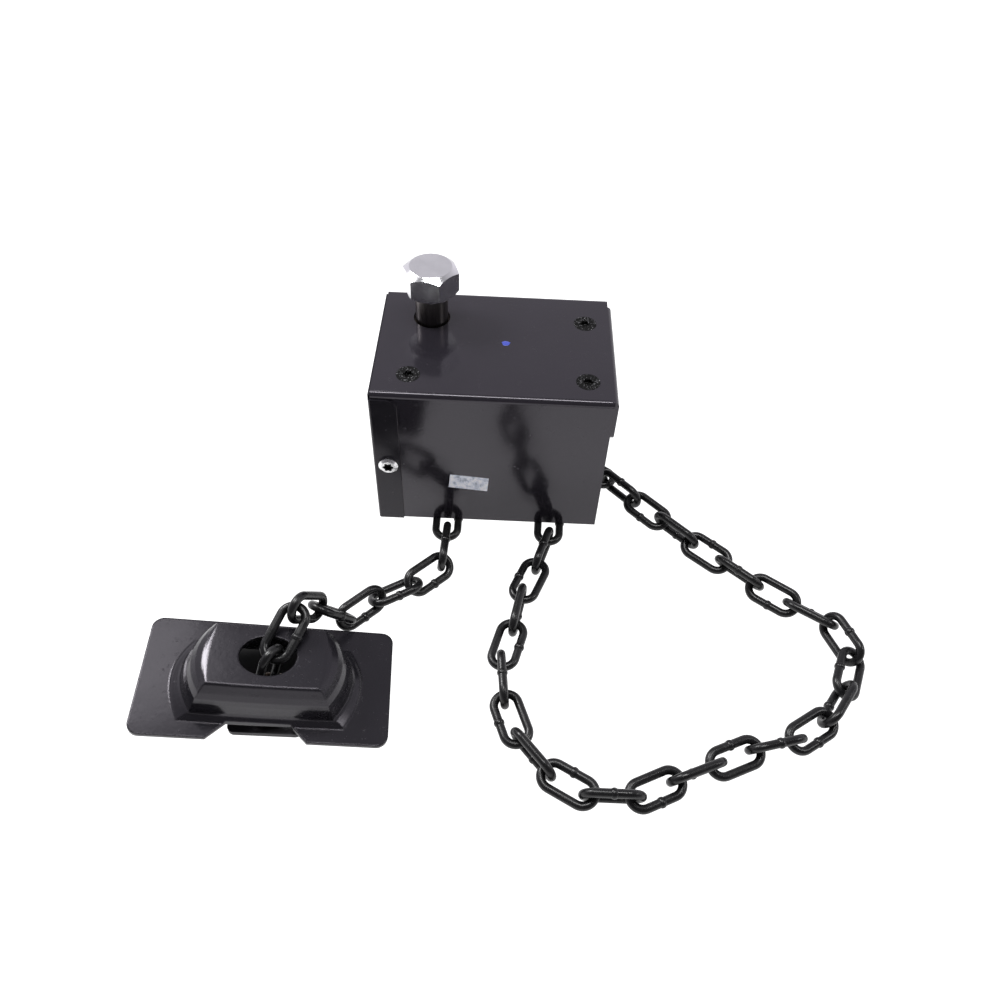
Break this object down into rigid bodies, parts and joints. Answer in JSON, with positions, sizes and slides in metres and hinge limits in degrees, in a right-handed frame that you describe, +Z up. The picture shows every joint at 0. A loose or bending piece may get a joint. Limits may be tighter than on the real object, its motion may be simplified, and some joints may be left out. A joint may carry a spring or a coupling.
{
  "type": "spare wheel chain winch",
  "caption": "Chain winch with worm drive in a sheet-steel housing: a hex shaft turns a pocket wheel that lifts a welded chain with a domed retaining plate.",
  "frame": {"origin": "centre of the four bolt holes on the outer face of the housing's back wall", "axes": "+X to the right as seen from the front, +Y from the front to the chassis behind the back wall, +Z up along the hex shaft"},
  "size_m": [0.5008, 0.3489, 0.187],
  "materials": {
    "black_paint": "gloss black paint over sheet steel",
    "frame_steel": "black dip-coated steel",
    "zinc": "bright zinc plating",
    "steel": "machined steel, lightly oiled",
    "bronze": "cast bronze",
    "cast_iron": "as-cast iron",
    "chain_steel": "black e-coated round steel chain",
    "spring_steel": "oil-tempered spring steel"
  },
  "bodies": {
    "housing": {"housing_shell": "black_paint", "right_wall": "black_paint", "left_cover": "black_paint", "cover_screw": "zinc", "top_screws": "black_paint", "carrier_plate": "frame_steel", "front_cheek": "frame_steel", "middle_cheek": "frame_steel", "back_cheek": "frame_steel", "bearing_bridge": "frame_steel", "upper_bush": "bronze", "lower_bush": "bronze", "axle_bushes": "bronze", "tie_bolts": "steel", "weld_nuts": "steel", "chain_anchor": "frame_steel", "anchor_pin": "steel", "thrust_washer": "bronze", "load_link_9": "chain_steel", "slack_chain_out": "chain_steel", "slack_chain_bend": "chain_steel", "slack_chain_back": "chain_steel"},
    "worm_shaft": {"input_shaft": "zinc", "worm": "steel", "thrust_collar": "steel"},
    "wheel": {"axle": "steel", "chain_wheel": "cast_iron", "worm_wheel": "bronze", "axle_keys": "steel", "spacer_sleeve": "steel", "axle_circlips": "spring_steel", "wrapped_links": "chain_steel"},
    "load_strand": {"load_strand_link": "chain_steel"},
    "slack_strand": {"slack_strand_link": "chain_steel"},
    "load_lift": {"load_lift_link": "chain_steel"},
    "slack_lift": {"slack_lift_link": "chain_steel"},
    "link_8": {"load_link_8": "chain_steel"},
    "link_7": {"load_link_7": "chain_steel"},
    "link_6": {"load_link_6": "chain_steel"},
    "link_5": {"load_link_5": "chain_steel"},
    "link_4": {"load_link_4": "chain_steel"},
    "link_3": {"load_link_3": "chain_steel"},
    "link_2": {"load_link_2": "chain_steel"},
    "end_link": {"load_link_1": "chain_steel", "eye_bolt": "steel", "spring_seat": "frame_steel", "buffer_spring": "spring_steel"},
    "plate": {"retaining_plate": "black_paint"}
  },
  "joints": [
    {"name": "wheel_spin", "type": "hinge", "parent": "housing", "child": "wheel", "pos_m": [0.008, -0.032, -0.01], "axis": [0, 1, 0], "range_deg": [-6, 6]},
    {"name": "worm_spin", "type": "hinge", "parent": "housing", "child": "worm_shaft", "pos_m": [-0.0475, -0.032, 0], "axis": [0, 0, 1], "range_deg": [-174, 174]},
    {"name": "load_strand_swing", "type": "hinge", "parent": "wheel", "child": "load_strand", "pos_m": [-0.0281, -0.08, -0.02875], "axis": [0, 1, 0], "range_deg": [-6, 6]},
    {"name": "slack_strand_swing", "type": "hinge", "parent": "wheel", "child": "slack_strand", "pos_m": [0.0441, -0.08, -0.02875], "axis": [0, 1, 0], "range_deg": [-6, 6]},
    {"name": "load_lift_swing", "type": "hinge", "parent": "housing", "child": "load_lift", "pos_m": [-0.03046, -0.09831, -0.06664], "axis": [0.9918, -0.128, 0], "range_deg": [-10.4, 10.4]},
    {"name": "slack_lift_swing", "type": "hinge", "parent": "housing", "child": "slack_lift", "pos_m": [0.04771, -0.09842, -0.06664], "axis": [0.9814, 0.1921, 0], "range_deg": [-10.4, 10.4]},
    {"name": "link_8_turn", "type": "hinge", "parent": "housing", "child": "link_8", "pos_m": [-0.0314, -0.1316, -0.0678], "axis": [0, 0, 1], "range_deg": [-12, 12]},
    {"name": "link_7_turn", "type": "hinge", "parent": "link_8", "child": "link_7", "pos_m": [-0.032, -0.1607, -0.0678], "axis": [0, 0, -1], "range_deg": [-12, 12]},
    {"name": "link_6_turn", "type": "hinge", "parent": "link_7", "child": "link_6", "pos_m": [-0.0529, -0.1809, -0.0696], "axis": [0, 0, 1], "range_deg": [-12, 12]},
    {"name": "link_5_turn", "type": "hinge", "parent": "link_6", "child": "link_5", "pos_m": [-0.0778, -0.1961, -0.0686], "axis": [0, 0, -1], "range_deg": [-12, 12]},
    {"name": "link_4_turn", "type": "hinge", "parent": "link_5", "child": "link_4", "pos_m": [-0.0989, -0.2159, -0.0659], "axis": [0, 0, 1], "range_deg": [-6, 8]},
    {"name": "link_3_turn", "type": "hinge", "parent": "link_4", "child": "link_3", "pos_m": [-0.1128, -0.2251, -0.0415], "axis": [0, 0, -1], "range_deg": [-8, 8]},
    {"name": "link_2_turn", "type": "hinge", "parent": "link_3", "child": "link_2", "pos_m": [-0.1228, -0.2425, -0.0211], "axis": [0, 0, 1], "range_deg": [-10, 3]},
    {"name": "end_link_turn", "type": "hinge", "parent": "link_2", "child": "end_link", "pos_m": [-0.1341, -0.2686, -0.0315], "axis": [0, 0, -1], "range_deg": [-2, 8]},
    {"name": "plate_tilt", "type": "hinge", "parent": "end_link", "child": "plate", "pos_m": [-0.12917, -0.27031, -0.0323], "axis": [-0.0663, 0.9978, 0], "range_deg": [-4, 1]}
  ],
  "couplings": [
    {"joint": "worm_spin", "follows": "wheel_spin", "ratio": -29},
    {"joint": "load_strand_swing", "follows": "wheel_spin", "ratio": -1},
    {"joint": "slack_strand_swing", "follows": "wheel_spin", "ratio": -1},
    {"joint": "load_lift_swing", "follows": "wheel_spin", "ratio": 1.692},
    {"joint": "slack_lift_swing", "follows": "wheel_spin", "ratio": -1.692}
  ]
}
